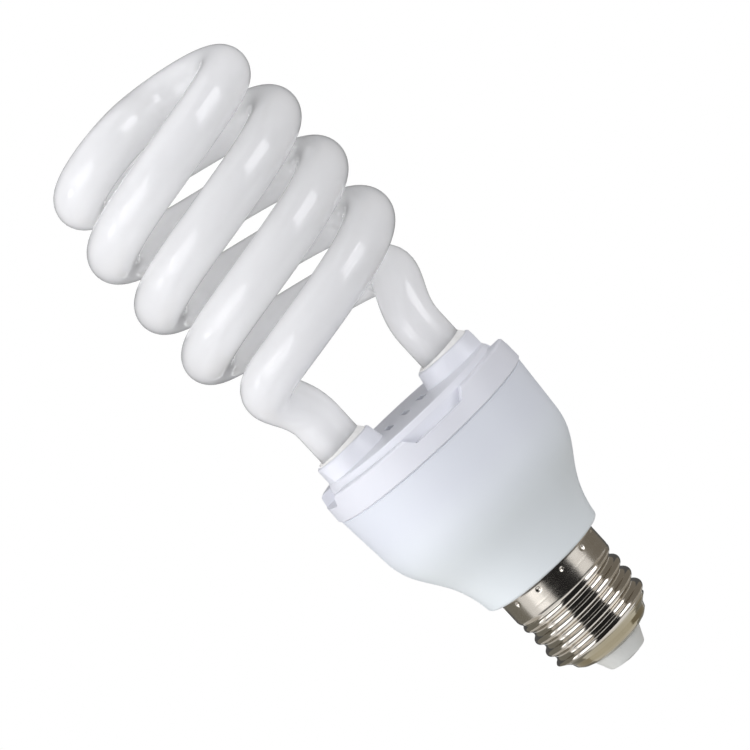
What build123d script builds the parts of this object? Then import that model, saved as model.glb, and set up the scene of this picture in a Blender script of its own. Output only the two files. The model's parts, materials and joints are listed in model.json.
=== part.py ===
from build123d import *
import os

# A compact fluorescent lamp: a white glass spiral on a plastic base with a screw cap.
# Millimetres. Z runs up the lamp's axis from the end of the centre contact, and the two
# legs of the spiral stand on the X axis.

# Glass spiral
tube_r = 5.6
coil_r = 23.4
strand_gap = 3.7
coil_turns = 1.735
coil_rise = 27.6
crown_rise = 6.8
leg_r = 15.3
leg_rise = 11.5
leg_depth = 10.5
bend_sweep = 48.0
leg_pull = 10.0
coil_pull = 15.2

# Lid that carries the legs
boss_wall = 1.7
boss_height = 4.0
boss_flare = 0.9
boss_round = 0.6
tier_height = 1.5
tier_flare = 0.7
tier_round = 0.5
ledge_width = 3.4
ring_height = 6.4
ring_draft = 0.2
ring_round = 0.7
lid_wall = 1.5
recess_count = 4
recess_width = 13.2
recess_flank = 2.1
recess_depth = 2.4
vent_count = 3
vent_width = 1.6
vent_length = 8.0
vent_spacing = 4.9

# Housing of the ballast
housing_height = 37.0
housing_wall = 1.6
rim_step = 0.4
body_height = 13.2
body_draft = 1.0
neck_r = 15.8
neck_pull = 13.0
neck_lean = 0.115
shoulder_pull = 10.0
foot_round = 0.8
seam_bevel = 0.3
spigot_wall = 1.2
spigot_length = 9.0
snap_bead = 0.35
snap_height = 1.6
snap_drop = 4.0
rib_count = 8
rib_width = 1.6
rib_depth = 1.2
rib_height = 4.0

# Screw cap
cap_height = 28.1
cap_wall = 0.35
skirt_step = 0.05
skirt_height = 6.6
skirt_taper = 1.2
thread_major_r = 13.125
thread_depth = 1.095
thread_pitch = 3.629
thread_low = 8.5
thread_angle = 143.5
nose_height = 4.1
nose_step = 1.83
nose_slope = 1.5
nose_round = 1.2
nose_drop = 2.0
collar_length = 4.8
collar_wall = 1.3
dent_count = 12
dent_r = 0.9
dent_depth = 0.2
dent_drop = 1.7

# Insulator and centre contact
insulator_r = 6.6
insulator_tip_r = 4.9
insulator_round = 0.5
flange_overlap = 2.2
flange_height = 1.6
contact_r = 3.6
contact_proud = 0.3
contact_shank_r = 1.2
contact_stub = 0.8

# Clearances
leg_play = 0.3
cavity_play = 0.7
fit_gap = 0.15
touch = 0.03

# Ballast board and what stands on it; an inset is how far in from the board's rim a part stands
board_thickness = 1.6
post_side = 1.0
post_height = 5.0
post_tail = 1.0
post_gap = 3.2
lead_r = 0.35
lead_spread = 2.2
lead_drop = 2.6
lead_bend = 1.0
cement_wall = 1.9
cement_height = 4.0
bead_rise = 1.4
bead_low = 0.2

# Choke: two E-shaped cores on a wound bobbin
choke_y = 9.3
core_width = 16.0
core_depth = 4.8
core_height = 13.2
core_back = 2.8
core_limb = 2.2
core_middle = 4.0
bobbin_wall = 0.7
bobbin_flange = 0.8
bobbin_reach = 3.4
winding_inset = 0.4
choke_play = 0.1

# Ring core with three windings
toroid_x = 6.7
toroid_y = -6.3
toroid_r = 4.3
toroid_bore_r = 2.3
toroid_height = 4.2
toroid_layer = 0.6
toroid_windings = 3
toroid_sector = 84.0

# Capacitors: the can, then the dipped ones with their width, depth and height
can_r = 5.0
can_length = 19.0
can_x = -4.4
can_y = -6.4
can_round = 0.6
can_groove = 0.4
can_groove_drop = 2.4
dip_round = 1.1
resonant_size = (4.8, 10.5, 9.0)
resonant_inset = 8.1
resonant_y = 1.9
blocking_size = (4.8, 8.6, 8.0)
blocking_inset = 8.1
blocking_y = 6.2
suppressor_size = (4.0, 7.6, 7.0)
suppressor_inset = 10.3
suppressor_y = -9.2

# Transistors, diodes, resistors and the starting thermistor
transistor_size = (7.8, 2.7, 9.5)
transistor_inset = 8.5
transistor_pitch = 10.2
transistor_round = 0.4
diode_r = 1.35
diode_length = 5.0
diode_inset = 6.9
diode_y = -5.4
diode_pitch_x = 3.4
diode_pitch_y = 6.0
resistor_r = 0.95
resistor_length = 3.8
resistor_count = 5
resistor_pitch = 4.0
resistor_inset = 5.1
trigger_inset = 11.5
trigger_y = 13.4
fuse_r = 1.7
fuse_length = 9.0
fuse_at = (3.7, 0.4)
thermistor_r = 3.3
thermistor_width = 2.8
thermistor_inset = 11.1
thermistor_x = -12.2
bead_round = 0.5

# Supply wires
wire_r = 0.55
wire_bend = 1.2
live_low = 20.0
live_join = 13.0
neutral_angle = 180.0

# Heights and radii that follow
tube_d = 2 * tube_r
coil_pitch = 2 * (tube_d + strand_gap)
seam_z = cap_height + housing_height
ring_top = seam_z + ring_height
plate_top = ring_top + tier_height
plate_under = plate_top - lid_wall
boss_top = plate_top + boss_height
boss_r = tube_r + boss_wall
tier_r = leg_r + boss_r
tier_foot_r = tier_r + tier_flare
ring_r = tier_foot_r + ledge_width
rim_r = ring_r - rim_step
shoulder_z = seam_z - body_height
shoulder_r = rim_r - body_draft
recess_floor = ring_top - recess_depth
lid_under = recess_floor - lid_wall
lid_cavity_r = leg_r + tube_r + cavity_play
spigot_low = seam_z - spigot_length
board_top = spigot_low - touch
board_under = board_top - board_thickness
snap_z = seam_z - snap_drop
skirt_low = cap_height - skirt_height
skirt_r = thread_major_r + skirt_step
thread_minor_r = thread_major_r - thread_depth
nose_r = thread_minor_r - nose_step
thread_high = skirt_low - skirt_taper
leg_foot = plate_top - leg_depth
coil_low = plate_top + coil_rise
coil_end = bend_sweep + 360 * coil_turns
crown_z = coil_low + coil_pitch * coil_turns + crown_rise
lead_z = leg_foot - lead_drop
post_x = leg_r - post_gap


def spin(points):
    """Solid of revolution about Z from a closed outline of (radius, height) points."""
    return revolve(Plane.XZ * make_face(Polyline(*points, close=True)), Axis.Z)


def rounded(face, point, radius):
    """Outline with the corner nearest to the point rounded."""
    return fillet(face.vertices().sort_by_distance(point)[0], radius)


def ring(outer_r, inner_r, low, high):
    """Plain ring about Z between two heights."""
    return Pos(0, 0, low) * extrude(Circle(outer_r) - Circle(inner_r), high - low)


def disc(radius, low, high):
    """Plain cylinder about Z between two heights."""
    return Pos(0, 0, low) * extrude(Circle(radius), high - low)


def inboard(inset):
    """Distance from the axis to a place that far in from the board's rim."""
    return socket_r(board_under) - fit_gap - inset


def hung(sketch, x, y, height, top=None):
    """Block with the sketch as its section, hanging from the board's underside."""
    start = board_under - touch if top is None else top
    return Pos(x, y, start - height) * extrude(sketch, height)


def body_r(z):
    """Outer radius of the housing's straight upper stretch."""
    return rim_r - body_draft * (seam_z - z) / body_height


def socket_r(z):
    """Inner radius of the housing where the lid's spigot goes in."""
    return body_r(z) - housing_wall


def spiral_half():
    """Centre line of half the spiral: leg, bend, coil and half of the crossover at the top."""
    coil = Helix(coil_pitch, coil_pitch * coil_turns, coil_r)
    coil = Pos(0, 0, coil_low) * Rot(Z=bend_sweep) * coil
    foot = Vector(leg_r, 0, leg_foot)
    knee = Vector(leg_r, 0, plate_top + leg_rise)
    leg = Line(foot, knee)
    bend = Bezier(knee, knee + Vector(0, 0, leg_pull), (coil @ 0) - (coil % 0) * coil_pull, coil @ 0)
    crown = Vector(0, 0, crown_z)
    heading = Vector(1, 0, 0).rotate(Axis.Z, coil_end - 90)
    half_circle_pull = 4 / 3 * coil_r / 2
    over = Bezier(
        coil @ 1,
        (coil @ 1) + (coil % 1) * half_circle_pull,
        crown - heading * half_circle_pull,
        crown,
    )
    return [leg, bend, coil, over]


def spiral_tube():
    """Sealed glass tube: two strands wound side by side and joined at the top."""
    first = spiral_half()
    second = [Rot(Z=180) * edge for edge in reversed(first)]
    path = Wire(first + second)
    section = Plane(origin=path @ 0, z_dir=path % 0) * Circle(tube_r)
    return sweep(section, path=path)


def leg_places():
    """Where the two legs stand on the lid."""
    return [Pos(leg_r, 0, 0), Pos(-leg_r, 0, 0)]


def lid():
    """Stepped lid with a boss for each leg, recesses in its ring and a spigot below."""
    top_of_snap = snap_z + snap_height / 2
    low_of_snap = snap_z - snap_height / 2
    points = [
        (0, plate_top),
        (tier_r, plate_top),
        (tier_foot_r, ring_top),
        (ring_r - ring_draft, ring_top),
        (ring_r, seam_z + seam_bevel),
        (ring_r - seam_bevel, seam_z),
        (socket_r(seam_z) - fit_gap, seam_z),
        (socket_r(top_of_snap) - fit_gap, top_of_snap),
        (socket_r(snap_z) - fit_gap + snap_bead, snap_z),
        (socket_r(low_of_snap) - fit_gap, low_of_snap),
        (socket_r(spigot_low) - fit_gap, spigot_low),
        (socket_r(spigot_low) - fit_gap - spigot_wall, spigot_low),
        (socket_r(seam_z) - fit_gap - spigot_wall, lid_under),
        (lid_cavity_r, lid_under),
        (lid_cavity_r, plate_under),
        (0, plate_under),
    ]
    face = make_face(Polyline(*points, close=True))
    face = rounded(face, (tier_r, plate_top), tier_round)
    face = rounded(face, (ring_r - ring_draft, ring_top), ring_round)
    body = revolve(Plane.XZ * face, Axis.Z)
    boss = spin(
        [
            (0, plate_under),
            (boss_r + boss_flare, plate_under),
            (boss_r + boss_flare, plate_top),
            (boss_r, boss_top),
            (0, boss_top),
        ]
    )
    boss = fillet(boss.edges().sort_by(Axis.Z)[-1], boss_round)
    trim = disc(tier_r, plate_under, boss_top)
    hole = disc(tube_r + leg_play, plate_under, boss_top)
    for place in leg_places():
        body += (place * boss) & trim
    for place in leg_places():
        body -= place * hole
    for number in range(recess_count):
        body -= Rot(Z=360 / recess_count * number) * recess()
    slot = extrude(SlotOverall(vent_length, vent_width, rotation=90), lid_wall)
    for number in range(vent_count):
        offset_x = (number - (vent_count - 1) / 2) * vent_spacing
        body -= Pos(offset_x, 0, plate_under) * slot
    return body


def recess():
    """Recess with sloping ends in the top edge of the lid's ring, on the X axis."""
    run = recess_flank / recess_depth
    rise = recess_depth + tier_height
    half = recess_width / 2
    outline = Polyline(
        (-half, recess_floor),
        (half, recess_floor),
        (half + run * rise, recess_floor + rise),
        (-half - run * rise, recess_floor + rise),
        close=True,
    )
    block = extrude(Plane.YZ * make_face(outline), ring_r + ledge_width)
    return block - disc(tier_foot_r, recess_floor, boss_top)


def housing_form(inset):
    """Solid inside the housing's flared outline, drawn in by an inset."""
    neck = Vector(neck_r - inset, cap_height)
    shoulder = Vector(shoulder_r - inset, shoulder_z)
    rim = Vector(rim_r - inset, seam_z)
    lean = body_draft / body_height
    flare = Bezier(
        neck,
        neck + Vector(neck_lean, 1) * neck_pull,
        shoulder - Vector(lean, 1) * shoulder_pull,
        shoulder,
    )
    outline = [
        Line((0, cap_height), neck),
        flare,
        Line(shoulder, rim),
        Line(rim, (0, seam_z)),
        Line((0, seam_z), (0, cap_height)),
    ]
    return revolve(Plane.XZ * make_face(outline), Axis.Z)


def housing():
    """Flared shell with a collar for the cap, ribs for the board and a groove for the lid."""
    form = housing_form(0)
    form = fillet(form.edges().sort_by(Axis.Z)[0], foot_round)
    form = chamfer(form.edges().sort_by(Axis.Z)[-1], seam_bevel)
    cavity = housing_form(housing_wall) - disc(neck_r, cap_height, cap_height + housing_wall)
    rib = Box(2 * rim_r, rib_width, rib_height, align=(Align.CENTER, Align.CENTER, Align.MAX))
    ribs = [Rot(Z=360 / rib_count * number) * rib for number in range(rib_count // 2)]
    inner_r = socket_r(board_under) - rib_depth
    ledge = Pos(0, 0, board_under - touch) * (Part() + ribs) & cavity
    ledge -= disc(inner_r, board_under - touch - rib_height, board_under)
    groove = spin(
        [
            (0, snap_z + snap_height / 2),
            (socket_r(snap_z + snap_height / 2), snap_z + snap_height / 2),
            (socket_r(snap_z) + snap_bead, snap_z),
            (socket_r(snap_z - snap_height / 2), snap_z - snap_height / 2),
            (0, snap_z - snap_height / 2),
        ]
    )
    collar_r = skirt_r - cap_wall - fit_gap
    collar_low = cap_height - collar_length
    bore = disc(collar_r - collar_wall, collar_low, cap_height + housing_wall)
    return form - cavity - groove + ledge + disc(collar_r, collar_low, cap_height) - bore


def nose_inside(radius):
    """Height of the inner surface of the cap's sloping nose at a radius."""
    hole_r = insulator_r + touch
    slope = nose_slope / (nose_r - cap_wall - hole_r)
    return nose_height + cap_wall + slope * (radius - hole_r)


def thread_rod():
    """Threaded rod: a circle carried up a small helix, level all the way."""
    swing = thread_depth / 2
    path = Pos(0, 0, thread_low) * Rot(Z=thread_angle) * Helix(thread_pitch, thread_high - thread_low, swing)
    section = Pos(*(path @ 0)) * Circle(thread_major_r - swing)
    return Solid.sweep(section.face(), path, mode=Vector(0, 0, 1))


def cap_nose(inset):
    """Solid inside the cap's tapered nose, drawn in by the sheet's thickness."""
    nose_z = nose_height + nose_slope
    outline = [
        (0, nose_height + inset),
        (insulator_r + touch, nose_height + inset),
        (nose_r - inset, nose_z + inset),
        (nose_r - inset, nose_z + nose_drop),
        (thread_minor_r - touch - inset, thread_low + inset),
        (0, thread_low + inset),
    ]
    face = make_face(Polyline(*outline, close=True))
    return revolve(Plane.XZ * rounded(face, outline[2], nose_round - inset), Axis.Z)


def cap_skirt(inset):
    """Solid inside the cap's skirt and the curve down to the thread's root."""
    root_r = thread_minor_r - touch - inset
    high = thread_high - inset
    return spin(
        [
            (0, high),
            (root_r, high),
            (skirt_r - inset, skirt_low),
            (skirt_r - inset, cap_height - touch),
            (0, cap_height - touch),
        ]
    )


def cap_shell():
    """Sheet metal cap with a rolled thread, a tapered nose and a ring of punched dents."""
    root = disc(thread_minor_r - touch - cap_wall, thread_low + cap_wall, thread_high - cap_wall)
    shell = cap_nose(0) + thread_rod() + cap_skirt(0) - (cap_nose(cap_wall) + root + cap_skirt(cap_wall))
    shell -= disc(insulator_r + touch, nose_height, nose_height + cap_wall)
    dent = Pos(skirt_r + dent_r - dent_depth, 0, cap_height - dent_drop) * Sphere(dent_r)
    return shell - [Rot(Z=360 / dent_count * number) * dent for number in range(dent_count)]


def cap_insulator():
    """Moulded insulator in the nose of the cap, with a flange inside it and a hole for the contact."""
    flange_r = insulator_r + flange_overlap
    points = [
        (contact_shank_r + touch, contact_proud),
        (insulator_tip_r, contact_proud),
        (insulator_r, nose_height),
        (insulator_r, nose_inside(insulator_r) + touch),
        (flange_r, nose_inside(flange_r) + touch),
        (flange_r, flange_top()),
        (contact_shank_r + touch, flange_top()),
    ]
    face = make_face(Polyline(*points, close=True))
    face = rounded(face, (insulator_tip_r, contact_proud), insulator_round)
    return revolve(Plane.XZ * face, Axis.Z)


def flange_top():
    """Height of the insulator's inner face."""
    return nose_inside(insulator_r + flange_overlap) + flange_height


def shank_top():
    """Height of the contact's inner end, where the live wire is soldered."""
    return flange_top() + contact_stub


def centre_contact():
    """Rivet with a flat head under the insulator."""
    head = disc(contact_r, 0, contact_proud - touch)
    return head + disc(contact_shank_r, contact_proud - touch, shank_top())


def tube_cement(place):
    """Cement round a leg: a collar under the lid's plate, a sleeve in the boss and a bead on top."""
    inner_r = tube_r + touch
    collar = ring(tube_r + cement_wall, inner_r, plate_under - cement_height, plate_under - touch)
    collar = place * collar & disc(lid_cavity_r - touch, plate_under - cement_height, plate_under)
    sleeve = ring(tube_r + leg_play - touch, inner_r, plate_under - touch, boss_top + touch)
    return collar + place * (sleeve + cement_bead())


def cement_bead():
    """Bead of cement on a boss, highest on its +X side, where it was smoothed off."""
    low = boss_top + touch
    foot_r = boss_r - boss_round
    inner_r = tube_r + touch
    bead = spin([(inner_r, low), (foot_r, low), (inner_r, low + bead_rise)])
    slope = Polyline(
        (-foot_r, low),
        (foot_r, low),
        (foot_r, low + bead_rise),
        (-foot_r, low + bead_low),
        close=True,
    )
    return bead & extrude(Plane.XZ * make_face(slope), foot_r, both=True)


def post_places():
    """Where the four posts stand, two beside each leg."""
    return [Pos(side * post_x, row * lead_spread, 0) for side in (1, -1) for row in (1, -1)]


def ballast_board():
    """Round board with a hole for each post."""
    board = disc(inboard(0), board_under, board_top)
    side = post_side + 2 * touch
    for place in post_places():
        board -= place * Pos(0, 0, board_under) * extrude(Rectangle(side, side), board_thickness)
    return board


def wrap_post(place):
    """Square post through the board that the tube's leads are wrapped on."""
    height = post_tail + board_thickness + post_height
    return place * Pos(0, 0, board_under - post_tail) * extrude(Rectangle(post_side, post_side), height)


def wire_along(points, radius, bend):
    """Round wire along straight runs with rounded corners."""
    path = FilletPolyline(*points, radius=bend)
    return sweep(Plane(origin=path @ 0, z_dir=path % 0) * Circle(radius), path=path)


def tube_lead(side, row):
    """Lead from the sealed end of a leg to its post."""
    x, y = side * leg_r, row * lead_spread
    end = side * (post_x + post_side / 2 + touch)
    points = [(x, y, leg_foot - touch), (x, y, lead_z), (end, y, lead_z)]
    return wire_along(points, lead_r, lead_bend)


def choke_core(upper):
    """E-shaped half of the choke's core; the upper one lies on the board."""
    half = core_height / 2
    window = (core_width - core_middle) / 2 - core_limb
    middle = (core_middle + window) / 2
    block = hung(Rectangle(core_width, core_depth), 0, choke_y, half)
    back_under = board_under - touch - core_back
    gap = hung(Rectangle(window, core_depth), middle, choke_y, half - core_back, back_under)
    block -= gap
    block -= mirror(gap, Plane.YZ)
    if upper:
        return block
    return mirror(block, Plane.XY.offset(board_under - touch - half - touch / 2))


def choke_bobbin():
    """Bobbin on the core's middle limb."""
    inner = Rectangle(core_middle + 2 * choke_play, core_depth + 2 * choke_play)
    tube = Rectangle(bobbin_tube()[0], bobbin_tube()[1])
    flange = Rectangle(tube_flange()[0], tube_flange()[1])
    top = board_under - touch - core_back - choke_play
    height = core_height - 2 * core_back - 2 * choke_play
    body = hung(tube - inner, 0, choke_y, height, top)
    body += hung(flange - inner, 0, choke_y, bobbin_flange, top)
    body += hung(flange - inner, 0, choke_y, bobbin_flange, top - height + bobbin_flange)
    return body


def bobbin_tube():
    """Outer width and depth of the bobbin's tube."""
    wall = 2 * (choke_play + bobbin_wall)
    return core_middle + wall, core_depth + wall


def tube_flange():
    """Width and depth of the bobbin's flanges, inside the core's windows."""
    return core_width - 2 * core_limb - 2 * choke_play, core_depth + 2 * bobbin_reach


def choke_winding():
    """Coil of wire between the bobbin's flanges."""
    width, depth = tube_flange()
    outline = RectangleRounded(width - 2 * winding_inset, depth - 2 * winding_inset, bobbin_wall)
    tube = Rectangle(bobbin_tube()[0] + 2 * touch, bobbin_tube()[1] + 2 * touch)
    ends = core_back + choke_play + bobbin_flange + touch
    return hung(outline - tube, 0, choke_y, core_height - 2 * ends, board_under - touch - ends)


def toroid_place():
    """Middle of the ring core, with its windings against the board."""
    drop = touch + toroid_layer + touch + toroid_height / 2
    return Pos(toroid_x, toroid_y, board_under - drop)


def toroid_core():
    """Small ferrite ring."""
    return toroid_place() * ring(toroid_r, toroid_bore_r, -toroid_height / 2, toroid_height / 2)


def toroid_winding(number):
    """One winding: a layer of wire round part of the ring core."""
    width = toroid_r - toroid_bore_r
    outer = Rectangle(width + 2 * toroid_layer, toroid_height + 2 * toroid_layer)
    inner = Rectangle(width + 2 * touch, toroid_height + 2 * touch)
    section = Plane.XZ * Pos((toroid_r + toroid_bore_r) / 2, 0, 0) * (outer - inner)
    layer = revolve(section, Axis.Z, toroid_sector)
    return toroid_place() * Rot(Z=360 / toroid_windings * number) * layer


def smoothing_capacitor():
    """Electrolytic can with a crimp groove near its leads."""
    can = hung(Circle(can_r), can_x, can_y, can_length)
    can = fillet(can.edges().filter_by(GeomType.CIRCLE), can_round)
    groove = Torus(can_r + can_groove, 2 * can_groove)
    return can - Pos(can_x, can_y, board_under - touch - can_groove_drop) * groove


def dipped_capacitor(size, x, y):
    """Film capacitor dipped in resin, with round edges."""
    width, depth, height = size
    block = hung(Rectangle(width, depth), x, y, height)
    return fillet(block.edges(), dip_round)


def transistor(side):
    """Flat plastic transistor on its edge."""
    width, depth, height = transistor_size
    block = hung(Rectangle(width, depth), side * transistor_pitch / 2, -inboard(transistor_inset), height)
    return fillet(block.edges().filter_by(Axis.Z), transistor_round)


def bead(radius, length, x, y):
    """Small round-ended part that lies along Y on the board."""
    rod = Rot(X=90) * Cylinder(radius, length)
    rod = fillet(rod.edges().filter_by(GeomType.CIRCLE), bead_round)
    return Pos(x, y, board_under - touch - radius) * rod


def rectifier_diode(column, row):
    """One diode of the bridge."""
    x = inboard(diode_inset) + column * diode_pitch_x / 2
    return bead(diode_r, diode_length, x, diode_y + row * diode_pitch_y / 2)


def resistor(number):
    """One of the row of small resistors."""
    x = (number - (resistor_count - 1) / 2) * resistor_pitch
    return bead(resistor_r, resistor_length, x, inboard(resistor_inset))


def fuse_resistor():
    """Fusible resistor that hangs from the board and carries the live wire."""
    rod = hung(Circle(fuse_r), fuse_at[0], fuse_at[1], fuse_length)
    return fillet(rod.edges().filter_by(GeomType.CIRCLE), bead_round)


def start_thermistor():
    """Disc thermistor that stands on its edge."""
    disc_part = Rot(Y=90) * Cylinder(thermistor_r, thermistor_width)
    disc_part = fillet(disc_part.edges().filter_by(GeomType.CIRCLE), bead_round)
    return Pos(thermistor_x, inboard(thermistor_inset), board_under - touch - thermistor_r) * disc_part


def live_wire():
    """Wire from the fusible resistor down to the centre contact."""
    x, y = fuse_at
    points = [
        (x, y, board_under - 2 * touch - fuse_length),
        (x, y, live_low),
        (0, 0, live_join),
        (0, 0, shank_top() + touch),
    ]
    return wire_along(points, wire_r, wire_bend)


def neutral_wire():
    """Wire from the board down inside the collar to the cap's skirt."""
    bore_r = skirt_r - cap_wall - fit_gap - collar_wall
    run_r = bore_r - wire_r - fit_gap
    end_r = skirt_r - cap_wall - 2 * touch
    z = skirt_low + wire_r + touch
    points = [(run_r, 0, board_under - touch), (run_r, 0, z), (end_r, 0, z)]
    return Rot(Z=neutral_angle) * wire_along(points, wire_r, wire_bend)


parts = {
    "spiral_tube": spiral_tube(),
    "lid": lid(),
    "housing": housing(),
    "cap_shell": cap_shell(),
    "cap_insulator": cap_insulator(),
    "centre_contact": centre_contact(),
    "ballast_board": ballast_board(),
    "choke_core_upper": choke_core(True),
    "choke_core_lower": choke_core(False),
    "choke_bobbin": choke_bobbin(),
    "choke_winding": choke_winding(),
    "toroid_core": toroid_core(),
    "smoothing_capacitor": smoothing_capacitor(),
    "resonant_capacitor": dipped_capacitor(resonant_size, -inboard(resonant_inset), resonant_y),
    "blocking_capacitor": dipped_capacitor(blocking_size, inboard(blocking_inset), blocking_y),
    "suppression_capacitor": dipped_capacitor(suppressor_size, -inboard(suppressor_inset), suppressor_y),
    "trigger_diode": bead(resistor_r, resistor_length, inboard(trigger_inset), trigger_y),
    "fuse_resistor": fuse_resistor(),
    "start_thermistor": start_thermistor(),
    "live_wire": live_wire(),
    "neutral_wire": neutral_wire(),
}
for number in range(toroid_windings):
    parts[f"toroid_winding_{number + 1}"] = toroid_winding(number)
for number in range(resistor_count):
    parts[f"resistor_{number + 1}"] = resistor(number)
for number, place in enumerate(leg_places(), 1):
    parts[f"tube_cement_{number}"] = tube_cement(place)
for number, place in enumerate(post_places(), 1):
    parts[f"wrap_post_{number}"] = wrap_post(place)
for number, side in enumerate((1, -1), 1):
    parts[f"transistor_{number}"] = transistor(side)
corners = [(side, row) for side in (1, -1) for row in (1, -1)]
for number, (side, row) in enumerate(corners, 1):
    parts[f"tube_lead_{number}"] = tube_lead(side, row)
    parts[f"rectifier_diode_{number}"] = rectifier_diode(side, row)

os.makedirs("parts", exist_ok=True)
for name, shape in parts.items():
    export_step(shape, f"parts/{name}.step")
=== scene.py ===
import json
import math

import bpy
from mathutils import Matrix, Vector


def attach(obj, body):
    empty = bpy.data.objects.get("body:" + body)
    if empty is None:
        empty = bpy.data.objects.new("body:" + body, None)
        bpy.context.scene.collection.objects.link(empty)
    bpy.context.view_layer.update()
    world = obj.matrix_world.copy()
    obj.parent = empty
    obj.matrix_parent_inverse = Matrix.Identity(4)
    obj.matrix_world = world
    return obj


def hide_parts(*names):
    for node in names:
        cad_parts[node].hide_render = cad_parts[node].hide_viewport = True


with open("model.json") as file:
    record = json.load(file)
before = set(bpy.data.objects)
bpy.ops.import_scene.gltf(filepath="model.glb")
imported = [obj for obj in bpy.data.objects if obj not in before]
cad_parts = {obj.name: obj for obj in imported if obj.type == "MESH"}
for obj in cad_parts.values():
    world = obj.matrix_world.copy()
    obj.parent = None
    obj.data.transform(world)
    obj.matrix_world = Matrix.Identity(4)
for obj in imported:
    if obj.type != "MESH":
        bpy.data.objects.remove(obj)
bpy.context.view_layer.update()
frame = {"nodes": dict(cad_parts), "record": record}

MM = 0.001
TURN = 2 * math.pi

# Glass spiral, with the sizes of its solid
TUBE_R = 5.6 * MM
COIL_R = 23.4 * MM
COIL_PITCH = 29.8 * MM
COIL_TURNS = 1.735
COIL_LOW = 100.6 * MM
CROWN_RISE = 6.8 * MM
LEG_R = 15.3 * MM
LEG_FOOT = 62.5 * MM
LEG_KNEE = 84.5 * MM
BEND_SWEEP = math.radians(48.0)
LEG_PULL = 10.0 * MM
COIL_PULL = 15.2 * MM
CROWN_PULL = 2 / 3 * COIL_R
TUBE_STEP = 1.1 * MM
TUBE_SIDES = 56

# Screw cap, with about the sizes of its solid
CAP_TOP = 28.07 * MM
SKIRT_R = 13.175 * MM
SKIRT_LOW = 22.3 * MM
SKIRT_CURVE = 0.286 / MM
THREAD_MAJOR_R = 13.125 * MM
THREAD_MINOR_R = 12.03 * MM
THREAD_PITCH = 3.629 * MM
THREAD_ARC_R = 1.025 * MM
THREAD_CREST = 17.94 * MM
DENT_COUNT = 12
DENT_Z = 26.4 * MM
DENT_R = 0.75 * MM
DENT_DEPTH = 0.28 * MM

# Rolled lip, soft meetings and steps of the cap's finer mesh
LIP_HEIGHT = 0.7 * MM
LIP_BULGE = 0.1 * MM
MERGE = 0.12 * MM
CAP_SIDES = 420
CAP_ROW = 0.12 * MM

# Outlines of the cap's nose, going up, and of its inside, going down, as radii and heights
NOSE_OUTLINE = [
    (6.63 * MM, 4.1 * MM),
    (9.1 * MM, 5.1 * MM),
    (10.1 * MM, 5.95 * MM),
    (10.55 * MM, 7.2 * MM),
    (11.7 * MM, 8.3 * MM),
    (13.2 * MM, 9.2 * MM),
]
NOSE_HOLE_R, NOSE_LOW = NOSE_OUTLINE[0]
NOSE_TOP_R, NOSE_TOP = NOSE_OUTLINE[-1]
SKIRT_INSIDE_R = 12.82 * MM
THREAD_INSIDE_R = 11.62 * MM
CAP_INSIDE = [
    (SKIRT_INSIDE_R, CAP_TOP),
    (SKIRT_INSIDE_R, 21.8 * MM),
    (THREAD_INSIDE_R, 20.3 * MM),
    (THREAD_INSIDE_R, 8.8 * MM),
    (9.8 * MM, 7.6 * MM),
    (9.7 * MM, 6.2 * MM),
    (NOSE_HOLE_R, 4.45 * MM),
]

# Pairs of shades, the lower one first where they change with height, and the heights of such changes
GLASS_WHITES = (0.925, 0.925, 0.915), (0.95, 0.95, 0.94)
LID_WHITES = (0.765, 0.775, 0.82), (0.795, 0.805, 0.85)
# Housing: the lighter, greener white of the neck is painted bounce light from below, faded out between the
# two heights on the next line
HOUSING_WHITES_AND_PAINTED_BOUNCE = (0.8, 0.843, 0.85), (0.78, 0.807, 0.858)
HOUSING_PAINTED_BOUNCE_HEIGHTS = (44 * MM, 57 * MM)
INSULATOR_WHITES = (0.655, 0.66, 0.62), (0.71, 0.715, 0.675)
NICKEL_SHADES = (0.325, 0.285, 0.195), (0.6, 0.562, 0.508)
NOSE_TINT = (8.5 * MM, 9.3 * MM)
SKIRT_DULL = (20.8 * MM, 22.3 * MM)
TIN_SHADES = (0.55, 0.53, 0.5), (0.75, 0.74, 0.72)

# Noise: how it is stretched along the axes, and the values between which it colours a surface
EVEN = (1, 1, 1)
WOUND = (1, 1, 30)
ROLLED = (1, 1, 40)
DRAWN = (1, 1, 60)
NOISE_ENDS = (0.35, 0.65)

# Slots whose material is two shades and a fine grain
PLAIN_LOOKS = {
    "cement": dict(shades=((0.84, 0.83, 0.8), (0.91, 0.9, 0.88)), roughness=0.9, scale=500.0),
    "board_laminate": dict(shades=((0.6, 0.45, 0.25), (0.74, 0.6, 0.38)), roughness=0.7, scale=350.0),
    "ferrite": dict(shades=((0.07, 0.07, 0.075), (0.14, 0.14, 0.15)), roughness=0.6, scale=700.0),
    "bobbin_nylon": dict(shades=((0.03, 0.03, 0.03), (0.06, 0.06, 0.06)), roughness=0.5),
    "copper_wire": dict(
        shades=((0.45, 0.2, 0.08), (0.78, 0.42, 0.2)), roughness=0.3, scale=60.0, metallic=1.0, stretch=WOUND
    ),
    "can_sleeve": dict(shades=((0.02, 0.025, 0.05), (0.05, 0.06, 0.1)), roughness=0.3),
    "film_resin": dict(shades=((0.3, 0.1, 0.03), (0.45, 0.18, 0.06)), roughness=0.25),
    "moulded_black": dict(shades=((0.02, 0.02, 0.02), (0.05, 0.05, 0.05)), roughness=0.6),
    "resistor_lacquer": dict(shades=((0.6, 0.48, 0.3), (0.75, 0.62, 0.42)), roughness=0.35),
    "thermistor_ceramic": dict(shades=((0.35, 0.35, 0.34), (0.5, 0.5, 0.48)), roughness=0.7),
    "lead_wire": dict(shades=((0.6, 0.6, 0.58), (0.75, 0.75, 0.73)), roughness=0.3, metallic=1.0),
    "wire_sleeve": dict(shades=((0.75, 0.75, 0.73), (0.85, 0.85, 0.83)), roughness=0.5),
}

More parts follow.
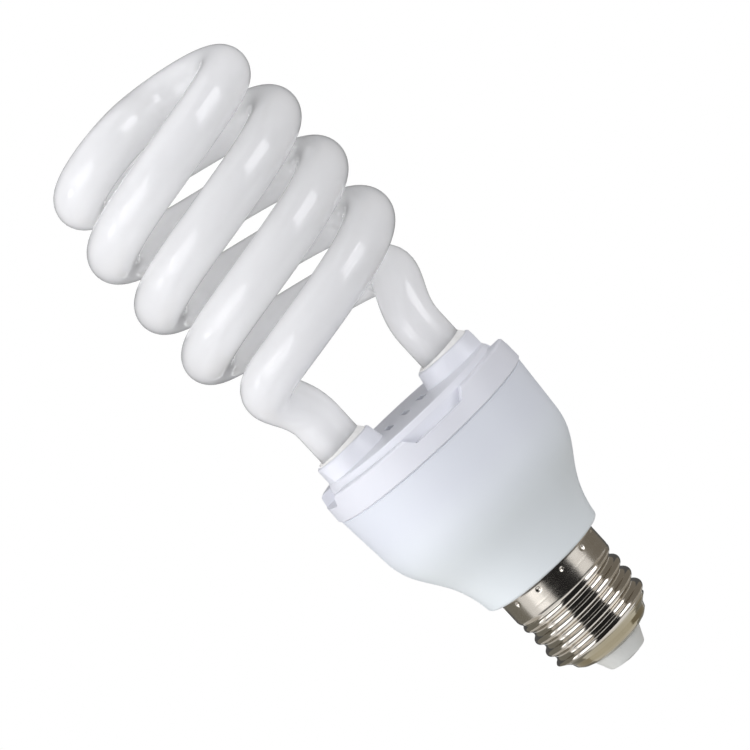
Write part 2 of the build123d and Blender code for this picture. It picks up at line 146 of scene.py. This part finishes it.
# Camera, as the photograph was taken
CAMERA_AZIMUTH = math.radians(-9.3)
CAMERA_DISTANCE = 718.7 * MM
CAMERA_HEIGHT = 144.8 * MM
CAMERA_AIM = Vector((0.8, -0.1, 83.5)) * MM
CAMERA_TURN = math.radians(42.7)
SENSOR_WIDTH = 36.0
LENS = 158.9

# Floor and world
FLOOR_R = 6.0
FLOOR_SIDES = 64
FLOOR_DROP = 0.45
FLOOR_NEAR = (0.2, 1.0)
FLOOR_SHADE = 0.42
FLOOR_GLOW = 0.69
AMBIENT = 0.39
COOL_WHITE = (0.965, 0.967, 1.0)

# Lamps: azimuth and elevation in degrees, width, height and power. Reflections leave the fills out.
STUDIO_R = 1.1
LAMPS = {
    "left_softbox": (-52, 13, 0.8, 0.69, 3.3),
    "left_spot": (-88, 12, 0.22, 0.3, 0.56),
    "left_core": (-55, -10, 0.46, 0.12, 0.2),
    "right_softbox": (55, 14, 0.68, 0.72, 4.4),
}
FILLS = {
    "left_fill": (-80, 4, 0.9, 0.9, 5.5),
    "front_fill": (-20, 5, 0.9, 0.9, 2.1),
    "top_fill": (0, 80, 1.0, 1.0, 2.9),
    "back_fill": (150, 5, 1.2, 0.7, 3.9),
}

# Sectors round the lamp, from one azimuth to another in degrees
FRONT = (-29, 39)
RIGHT_LAMPS = (39, 74)
RIGHT = (74, 150)
BACK = (150, 210)
LEFT = (-150, -94)
LEFT_LAMPS = (-94, -29)
LEFT_LAMPS_FLOOR = (-84, -29)

# Profiles of the cards, as distances from the axis and heights
CARD_STEPS = 24
CARD_FAR = 1.22
CARD_TOP = (0.66, 1.22)
CARD_LIFT = 0.002
FLOOR_CARD_Z = CARD_LIFT - FLOOR_DROP
LYING = [(0.45, FLOOR_CARD_Z), (CARD_FAR, FLOOR_CARD_Z)]
LYING_APART = [(0.62, FLOOR_CARD_Z), (CARD_FAR, FLOOR_CARD_Z)]
STANDING = [(CARD_FAR, -0.41), CARD_TOP]
HANGING = [(0.95, 0.7), CARD_TOP]

# Cards: sector, profile and shade
# Each card glows with its shade: painted reflections of the studio round the lamp, for the metal and the
# glass
CARDS = {
    "front_flag": (FRONT, LYING + STANDING, (0.02, 0.02, 0.02)),
    "left_foot": (LEFT, LYING, (0.6, 0.57, 0.52)),
    "left_low_flag": (LEFT_LAMPS_FLOOR, LYING_APART, (0.1, 0.1, 0.1)),
    "left_high_flag": (LEFT_LAMPS, HANGING, (0.2, 0.2, 0.2)),
    "right_low_flag": (RIGHT_LAMPS, LYING_APART, (0.1, 0.1, 0.1)),
    "right_high_flag": (RIGHT_LAMPS, HANGING, (0.1, 0.1, 0.1)),
    "left_flag": (LEFT, STANDING, (0.22, 0.21, 0.18)),
    "right_foot": (RIGHT, LYING, (0.4, 0.37, 0.32)),
    "right_flag": (RIGHT, STANDING, (0.22, 0.2, 0.17)),
    "back_foot": (BACK, LYING, (0.3, 0.29, 0.26)),
    "back_flag": (BACK, STANDING, (0.1, 0.1, 0.1)),
}


def placed(name, data):
    """New object of the scene."""
    thing = bpy.data.objects.new(name, data)
    bpy.context.scene.collection.objects.link(thing)
    return thing


def polar(r, angle, z):
    """Point at a radius, an angle and a height round the lamp's axis."""
    return (r * math.cos(angle), r * math.sin(angle), z)


def round_angles(sides):
    """Even angles all the way round."""
    return [TURN * side / sides for side in range(sides)]


def ring_faces(rows, sides):
    """Quads between rows of a grid that closes round its sides."""
    faces = []
    for row in range(rows - 1):
        for side in range(sides):
            after = (side + 1) % sides
            low, high = row * sides, (row + 1) * sides
            faces.append((low + side, low + after, high + after, high + side))
    return faces


def mesh_piece(name, verts, faces, material, node):
    """Smooth mesh that stands for a solid of the frame."""
    mesh = bpy.data.meshes.new(name)
    mesh.from_pydata(verts, [], faces)
    mesh.polygons.foreach_set("use_smooth", [True] * len(mesh.polygons))
    mesh.materials.append(material)
    piece = placed(name, mesh)
    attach(piece, "root")
    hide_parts(node)
    return piece


# Glass spiral


def bezier(points, share):
    """Point on a cubic curve."""
    a, b, c, d = points
    rest = 1 - share
    return a * rest**3 + 3 * b * rest**2 * share + 3 * c * rest * share**2 + d * share**3


def coil_point(angle):
    """Point on the first strand's helix, at an angle from the X axis."""
    climb = COIL_PITCH * (angle - BEND_SWEEP) / TURN
    return Vector(polar(COIL_R, angle, COIL_LOW + climb))


def coil_heading(angle):
    """Direction of the first strand's helix."""
    return Vector((-math.sin(angle) * COIL_R, math.cos(angle) * COIL_R, COIL_PITCH / TURN)).normalized()


def spiral_half():
    """Centre line from the foot of a leg to the middle of the crossover."""
    foot = Vector((LEG_R, 0, LEG_FOOT))
    knee = Vector((LEG_R, 0, LEG_KNEE))
    start = coil_point(BEND_SWEEP)
    bend = [knee, knee + Vector((0, 0, LEG_PULL)), start - coil_heading(BEND_SWEEP) * COIL_PULL, start]
    sweep = TURN * COIL_TURNS
    last = BEND_SWEEP + sweep
    end = coil_point(last)
    crown = Vector((0, 0, end.z + CROWN_RISE))
    inward = Vector((math.sin(last), -math.cos(last), 0))
    over = [end, end + coil_heading(last) * CROWN_PULL, crown - inward * CROWN_PULL, crown]
    leg_steps = round((LEG_KNEE - LEG_FOOT) / TUBE_STEP)
    bend_steps = round((start - knee).length / TUBE_STEP)
    coil_steps = round(COIL_R * sweep / TUBE_STEP)
    over_steps = round(math.pi / 2 * COIL_R / TUBE_STEP)
    points = [foot.lerp(knee, step / leg_steps) for step in range(leg_steps)]
    points += [bezier(bend, step / bend_steps) for step in range(bend_steps)]
    points += [coil_point(BEND_SWEEP + sweep * step / coil_steps) for step in range(coil_steps)]
    points += [bezier(over, step / over_steps) for step in range(over_steps + 1)]
    return points


def glass_spiral(material):
    """Glass tube along the whole spiral, in rings that don't twist."""
    half = spiral_half()
    half_turn = Matrix.Rotation(math.pi, 3, "Z")
    line = half + [half_turn @ point for point in reversed(half[:-1])]
    verts = []
    across = Vector((0, 1, 0))
    for index, point in enumerate(line):
        before, after = line[max(index - 1, 0)], line[min(index + 1, len(line) - 1)]
        along = (after - before).normalized()
        across = (across - along * across.dot(along)).normalized()
        other = along.cross(across)
        for angle in round_angles(TUBE_SIDES):
            verts.append(point + (across * math.cos(angle) + other * math.sin(angle)) * TUBE_R)
    faces = ring_faces(len(line), TUBE_SIDES)
    last = (len(line) - 1) * TUBE_SIDES
    faces.append(tuple(reversed(range(TUBE_SIDES))))
    faces.append(tuple(range(last, last + TUBE_SIDES)))
    return mesh_piece("glass_spiral", verts, faces, material, "spiral_tube")


# Screw cap


def arc_drop(distance):
    """How far an arc of the thread falls at a distance from its top."""
    return THREAD_ARC_R - math.sqrt(THREAD_ARC_R**2 - distance**2)


def thread_radius(angle, z):
    """Rolled thread: an arc over each crest and another through each root."""
    crest = THREAD_CREST + THREAD_PITCH * angle / TURN
    offset = (z - crest) % THREAD_PITCH
    from_crest = min(offset, THREAD_PITCH - offset)
    if from_crest < THREAD_PITCH / 4:
        return THREAD_MAJOR_R - arc_drop(from_crest)
    return THREAD_MINOR_R + arc_drop(THREAD_PITCH / 2 - from_crest)


def skirt_radius(z):
    """Plain skirt that curves in above the thread, with a small lip at its top."""
    lip = max(0.0, 1 - (CAP_TOP - z) / LIP_HEIGHT)
    bulge = LIP_BULGE * math.sin(math.pi / 2 * lip)
    return SKIRT_R + bulge - SKIRT_CURVE * max(0.0, SKIRT_LOW - z) ** 2


def nose_radius(z):
    """Nose, straight between the points of its outline and flared above them."""
    for (low_r, low_z), (high_r, high_z) in zip(NOSE_OUTLINE, NOSE_OUTLINE[1:]):
        if z <= high_z:
            return low_r + (high_r - low_r) * (z - low_z) / (high_z - low_z)
    return NOSE_TOP_R + z - NOSE_TOP


def merged(a, b, width):
    """Larger of two radii, rounded where they meet."""
    gap = max(width - abs(a - b), 0.0) / width
    return max(a, b) + gap**2 * width / 4


def cap_radius(angle, z):
    """Outer radius of the cap, where nose, thread and skirt run into each other."""
    upper = merged(thread_radius(angle, z), skirt_radius(z), MERGE)
    return -merged(-upper, -nose_radius(z), MERGE)


def dent_depth(angle, z):
    """Depth of the nearest punched dent in the skirt."""
    step = TURN / DENT_COUNT
    around = (angle - step * round(angle / step)) * SKIRT_R
    near = (around**2 + (z - DENT_Z) ** 2) / DENT_R**2
    return DENT_DEPTH * max(0.0, 1 - near) ** 2


def screw_cap(material):
    """Sheet metal cap: its outside in fine rows, and a plain inside."""
    rows = round((CAP_TOP - NOSE_LOW) / CAP_ROW)
    angles = round_angles(CAP_SIDES)
    verts = []
    for row in range(rows + 1):
        z = NOSE_LOW + (CAP_TOP - NOSE_LOW) * row / rows
        for angle in angles:
            r = max(cap_radius(angle, z), NOSE_HOLE_R) - dent_depth(angle, z)
            verts.append(polar(r, angle, z))
    verts += [polar(r, angle, z) for r, z in CAP_INSIDE for angle in angles]
    total = rows + 1 + len(CAP_INSIDE)
    faces = ring_faces(total, CAP_SIDES)
    last = (total - 1) * CAP_SIDES
    for side in range(CAP_SIDES):
        after = (side + 1) % CAP_SIDES
        faces.append((last + side, last + after, after, side))
    return mesh_piece("screw_cap", verts, faces, material, "cap_shell")


# Materials


class Finish:
    """Material on one shader, whose colour, polish and grain follow noise or height."""

    def __init__(self, name, roughness, metallic=0.0, **sockets):
        self.material = bpy.data.materials.new(name)
        self.material.use_nodes = True
        self.tree = self.material.node_tree
        self.shader = self.tree.nodes["Principled BSDF"]
        self.shader.inputs["Roughness"].default_value = roughness
        self.shader.inputs["Metallic"].default_value = metallic
        for socket, value in sockets.items():
            self.shader.inputs[socket.replace("_", " ")].default_value = value
        self.place = self.tree.nodes.new("ShaderNodeTexCoord").outputs["Object"]

    def noise(self, scale, stretch, detail=3.0):
        """Noise in the object's own space, stretched along its axes."""
        mapping = self.tree.nodes.new("ShaderNodeMapping")
        mapping.inputs["Scale"].default_value = stretch
        self.tree.links.new(self.place, mapping.inputs["Vector"])
        texture = self.tree.nodes.new("ShaderNodeTexNoise")
        texture.inputs["Scale"].default_value = scale
        texture.inputs["Detail"].default_value = detail
        self.tree.links.new(mapping.outputs["Vector"], texture.inputs["Vector"])
        return texture.outputs["Fac"]

    def height(self, low, high):
        """Value that goes from 0 to 1 between two heights."""
        split = self.tree.nodes.new("ShaderNodeSeparateXYZ")
        self.tree.links.new(self.place, split.inputs["Vector"])
        share = self.tree.nodes.new("ShaderNodeMapRange")
        share.inputs["From Min"].default_value = low
        share.inputs["From Max"].default_value = high
        self.tree.links.new(split.outputs["Z"], share.inputs["Value"])
        return share.outputs["Result"]

    def colour(self, source, shades, ends):
        """Colour between two shades as a value goes from one end to the other."""
        node = self.tree.nodes.new("ShaderNodeValToRGB")
        for element, shade, position in zip(node.color_ramp.elements, shades, ends):
            element.position = position
            element.color = (*shade, 1)
        self.tree.links.new(source, node.inputs["Fac"])
        self.tree.links.new(node.outputs["Color"], self.shader.inputs["Base Color"])
        return self

    def drift(self, shades, scale, stretch=EVEN):
        """Colour that drifts between two shades."""
        return self.colour(self.noise(scale, stretch), shades, NOISE_ENDS)

    def climb(self, shades, heights):
        """Colour that goes from one shade to another between two heights."""
        return self.colour(self.height(*heights), shades, (0.0, 1.0))

    def polish(self, low, high, scale, stretch=EVEN):
        """Roughness that varies over the surface."""
        node = self.tree.nodes.new("ShaderNodeMapRange")
        node.inputs["To Min"].default_value = low
        node.inputs["To Max"].default_value = high
        self.tree.links.new(self.noise(scale, stretch), node.inputs["Value"])
        self.tree.links.new(node.outputs["Result"], self.shader.inputs["Roughness"])
        return self

    def dull(self, heights, amount):
        """Adds to a varying roughness, from nothing at one height to all of it at another."""
        socket = self.shader.inputs["Roughness"]
        polish = socket.links[0].from_socket
        node = self.tree.nodes.new("ShaderNodeMath")
        node.operation = "MULTIPLY_ADD"
        self.tree.links.new(self.height(*heights), node.inputs[0])
        node.inputs[1].default_value = amount
        self.tree.links.new(polish, node.inputs[2])
        self.tree.links.new(node.outputs["Value"], socket)
        return self

    def grain(self, scale, height, strength=0.3, stretch=EVEN):
        """Fine bumps of a given height."""
        bump = self.tree.nodes.new("ShaderNodeBump")
        bump.inputs["Strength"].default_value = strength
        bump.inputs["Distance"].default_value = height
        self.tree.links.new(self.noise(scale, stretch, detail=2.0), bump.inputs["Height"])
        self.tree.links.new(bump.outputs["Normal"], self.shader.inputs["Normal"])
        return self


def opal_glass():
    """White coating inside clear glass, a little uneven along the tube."""
    scatter = dict(Subsurface_Weight=1.0, Subsurface_Scale=35 * MM, Subsurface_Radius=(1, 1, 1))
    finish = Finish("opal_glass", roughness=0.1, IOR=1.52, **scatter)
    finish.drift(GLASS_WHITES, scale=55.0)
    return finish.polish(low=0.04, high=0.1, scale=90.0)


def satin_plastic(name, roughness, spread=0.05):
    """Moulded plastic with a patchy polish and a fine grain."""
    finish = Finish(name, roughness, IOR=1.48)
    finish.polish(low=roughness - spread, high=roughness + spread, scale=160.0)
    return finish.grain(scale=2600.0, height=0.02 * MM, strength=0.25)


def white_plastic(name, whites, roughness):
    """Satin plastic whose white drifts."""
    return satin_plastic(name, roughness).drift(whites, scale=40.0)


def housing_plastic():
    """Satin plastic whose white is a little greener and lighter towards the neck: painted bounce light from
    below.
    """
    return satin_plastic("housing_plastic", roughness=0.38).climb(HOUSING_WHITES_AND_PAINTED_BOUNCE, HOUSING_PAINTED_BOUNCE_HEIGHTS)


def nickel():
    """Nickel plate with fine rolled lines round it, duller on the skirt, warmer and darker on the nose."""
    finish = Finish("nickel", roughness=0.16, metallic=1.0)
    finish.climb(NICKEL_SHADES, NOSE_TINT)
    finish.polish(low=0.08, high=0.16, scale=30.0, stretch=ROLLED)
    finish.dull(SKIRT_DULL, amount=0.1)
    return finish.grain(scale=25.0, height=0.02 * MM, strength=0.12, stretch=DRAWN)


def tinned():
    """Dull tinned metal, uneven in shade and surface."""
    finish = Finish("tinned_metal", roughness=0.35, metallic=1.0)
    finish.drift(TIN_SHADES, scale=300.0)
    return finish.grain(scale=900.0, height=0.03 * MM)


def plain(name, shades, roughness, scale=200.0, metallic=0.0, stretch=EVEN):
    """Material of a small part: two shades and a fine grain."""
    finish = Finish(name, roughness, metallic)
    finish.drift(shades, scale, stretch)
    return finish.grain(scale=1500.0, height=0.03 * MM, stretch=stretch)


def slot_materials():
    """Material for each slot of the record."""
    finishes = {
        "opal_glass": opal_glass(),
        "lid_plastic": white_plastic("lid_plastic", LID_WHITES, roughness=0.36),
        "housing_plastic": housing_plastic(),
        "cap_metal": nickel(),
        "insulator_white": white_plastic("insulator_white", INSULATOR_WHITES, roughness=0.3),
        "contact_metal": tinned(),
    }
    for slot, look in PLAIN_LOOKS.items():
        finishes[slot] = plain(slot, **look)
    return {slot: finish.material for slot, finish in finishes.items()}


def dress(materials):
    """Gives every solid of the frame the material of its slot."""
    slots = {part["node"]: part["material_slot"] for part in frame["record"]["subparts"]}
    for name, node in frame["nodes"].items():
        node.data.materials.clear()
        node.data.materials.append(materials[slots[name]])


# Studio


def facing(azimuth, elevation, distance):
    """Point round the lamp: azimuth in degrees from the camera's side, to the right."""
    angle = CAMERA_AZIMUTH + math.radians(azimuth)
    rise = math.radians(elevation)
    flat = distance * math.cos(rise)
    return Vector((math.sin(angle) * flat, -math.cos(angle) * flat, distance * math.sin(rise)))


def softbox(name, azimuth, elevation, width, height, power):
    """Soft lamp that faces the middle of the bulb and that the camera doesn't see."""
    light = bpy.data.lights.new(name, "AREA")
    light.shape = "RECTANGLE"
    light.size, light.size_y = width, height
    light.energy = power
    light.color = COOL_WHITE
    lamp = placed(name, light)
    lamp.location = CAMERA_AIM + facing(azimuth, elevation, STUDIO_R)
    lamp.rotation_euler = (CAMERA_AIM - lamp.location).to_track_quat("-Z", "Y").to_euler()
    lamp.visible_camera = False
    return lamp


def background_rays(tree):
    """Light Path value that is 1 for the rays that show the background."""
    path = tree.nodes.new("ShaderNodeLightPath")
    total = path.outputs["Is Camera Ray"]
    for ray in ("Is Glossy Ray", "Is Transmission Ray"):
        join = tree.nodes.new("ShaderNodeMath")
        join.operation = "MAXIMUM"
        tree.links.new(total, join.inputs[0])
        tree.links.new(path.outputs[ray], join.inputs[1])
        total = join.outputs["Value"]
    return total


def mixed(tree, share, first, second):
    """Shader that goes from one to another with a value."""
    node = tree.nodes.new("ShaderNodeMixShader")
    tree.links.new(share, node.inputs["Fac"])
    tree.links.new(first, node.inputs[1])
    tree.links.new(second, node.inputs[2])
    return node.outputs["Shader"]


def glow(tree, strength=1.0):
    """White light of a given strength."""
    node = tree.nodes.new("ShaderNodeEmission")
    node.inputs["Strength"].default_value = strength
    return node.outputs["Emission"]


def white_world():
    """Even soft light, seen as white."""
    world = bpy.data.worlds.new("studio")
    world.use_nodes = True
    bpy.context.scene.world = world
    tree = world.node_tree
    light = tree.nodes["Background"]
    light.inputs["Color"].default_value = (*COOL_WHITE, 1)
    light.inputs["Strength"].default_value = AMBIENT
    seen = tree.nodes.new("ShaderNodeBackground")
    seen.inputs["Color"].default_value = (1, 1, 1, 1)
    shown = mixed(tree, background_rays(tree), light.outputs["Background"], seen.outputs["Background"])
    tree.links.new(shown, tree.nodes["World Output"].inputs["Surface"])


def far_share(tree):
    """Value that goes from 0 on the floor under the lamp to 1 far from it."""
    place = tree.nodes.new("ShaderNodeTexCoord")
    reach = tree.nodes.new("ShaderNodeVectorMath")
    reach.operation = "LENGTH"
    tree.links.new(place.outputs["Object"], reach.inputs[0])
    far = tree.nodes.new("ShaderNodeMapRange")
    far.interpolation_type = "SMOOTHSTEP"
    far.inputs["From Min"].default_value = FLOOR_NEAR[0]
    far.inputs["From Max"].default_value = FLOOR_NEAR[1]
    tree.links.new(reach.outputs["Value"], far.inputs["Value"])
    return far.outputs["Result"]


def floor_material():
    """Pale floor: it takes the lamp's shadow near it and is seen as white far away."""
    material = bpy.data.materials.new("pale_floor")
    material.use_nodes = True
    tree = material.node_tree
    matt = tree.nodes["Principled BSDF"]
    matt.inputs["Base Color"].default_value = (FLOOR_SHADE, FLOOR_SHADE, FLOOR_SHADE, 1)
    matt.inputs["Roughness"].default_value = 1.0
    matt.inputs["Specular IOR Level"].default_value = 0.0
    lifted = tree.nodes.new("ShaderNodeAddShader")
    tree.links.new(matt.outputs["BSDF"], lifted.inputs[0])
    tree.links.new(glow(tree, FLOOR_GLOW), lifted.inputs[1])
    seen = mixed(tree, far_share(tree), lifted.outputs["Shader"], glow(tree))
    shown = mixed(tree, background_rays(tree), matt.outputs["BSDF"], seen)
    tree.links.new(shown, tree.nodes["Material Output"].inputs["Surface"])
    return material


def floor():
    """Round pale floor, well below the lamp, which its holder carries."""
    verts = [polar(FLOOR_R, angle, 0) for angle in round_angles(FLOOR_SIDES)]
    mesh = bpy.data.meshes.new("floor")
    mesh.from_pydata(verts, [], [tuple(range(FLOOR_SIDES))])
    mesh.materials.append(floor_material())
    ground = placed("floor", mesh)
    ground.location.z = -FLOOR_DROP


def painted_reflection_material(name, shade):
    """Flat shade that glows, so that no lamp changes it: a painted reflection of the studio round the lamp.
    """
    material = bpy.data.materials.new(name)
    material.use_nodes = True
    shader = material.node_tree.nodes["Principled BSDF"]
    shader.inputs["Base Color"].default_value = (0, 0, 0, 1)
    shader.inputs["Specular IOR Level"].default_value = 0.0
    shader.inputs["Emission Color"].default_value = (*shade, 1)
    shader.inputs["Emission Strength"].default_value = 1.0
    return material


def reflected_card(name, sector, profile, shade):
    """Card that only reflections show: a profile swept round the lamp through a sector."""
    first, last = sector
    rows = len(profile)
    verts = []
    for step in range(CARD_STEPS + 1):
        azimuth = first + (last - first) * step / CARD_STEPS
        for distance, height in profile:
            verts.append(facing(azimuth, 0, distance) + Vector((0, 0, height)))
    faces = []
    for step in range(CARD_STEPS):
        for row in range(rows - 1):
            corner = step * rows + row
            faces.append((corner, corner + 1, corner + rows + 1, corner + rows))
    mesh = bpy.data.meshes.new(name)
    mesh.from_pydata(verts, [], faces)
    mesh.materials.append(painted_reflection_material(name, shade))
    card = placed(name, mesh)
    card.visible_camera = False
    card.visible_diffuse = False
    card.visible_shadow = False
    card.visible_transmission = False


def photo_camera():
    """Camera at the photograph's place, turned about its line of sight so that the lamp leans."""
    data = bpy.data.cameras.new("camera")
    data.sensor_width = SENSOR_WIDTH
    data.lens = LENS
    place = facing(0, 0, CAMERA_DISTANCE)
    place.z = CAMERA_HEIGHT
    ahead = (CAMERA_AIM - place).normalized()
    level = ahead.cross(Vector((0, 0, 1))).normalized()
    above = level.cross(ahead)
    right = level * math.cos(CAMERA_TURN) - above * math.sin(CAMERA_TURN)
    up = level * math.sin(CAMERA_TURN) + above * math.cos(CAMERA_TURN)
    camera = placed("camera", data)
    camera.matrix_world = Matrix.Translation(place) @ Matrix((right, up, -ahead)).transposed().to_4x4()
    bpy.context.scene.camera = camera


def studio():
    """White surround, pale floor, lamps, and cards for the metal and the glass to mirror."""
    bpy.context.scene.view_settings.view_transform = "Standard"
    white_world()
    floor()
    for name, setting in LAMPS.items():
        softbox(name, *setting)
    for name, setting in FILLS.items():
        softbox(name, *setting).visible_glossy = False
    for name, (sector, profile, shade) in CARDS.items():
        reflected_card(name, sector, profile, shade)
    photo_camera()


materials = slot_materials()
dress(materials)
glass_spiral(materials["opal_glass"])
screw_cap(materials["cap_metal"])
studio()
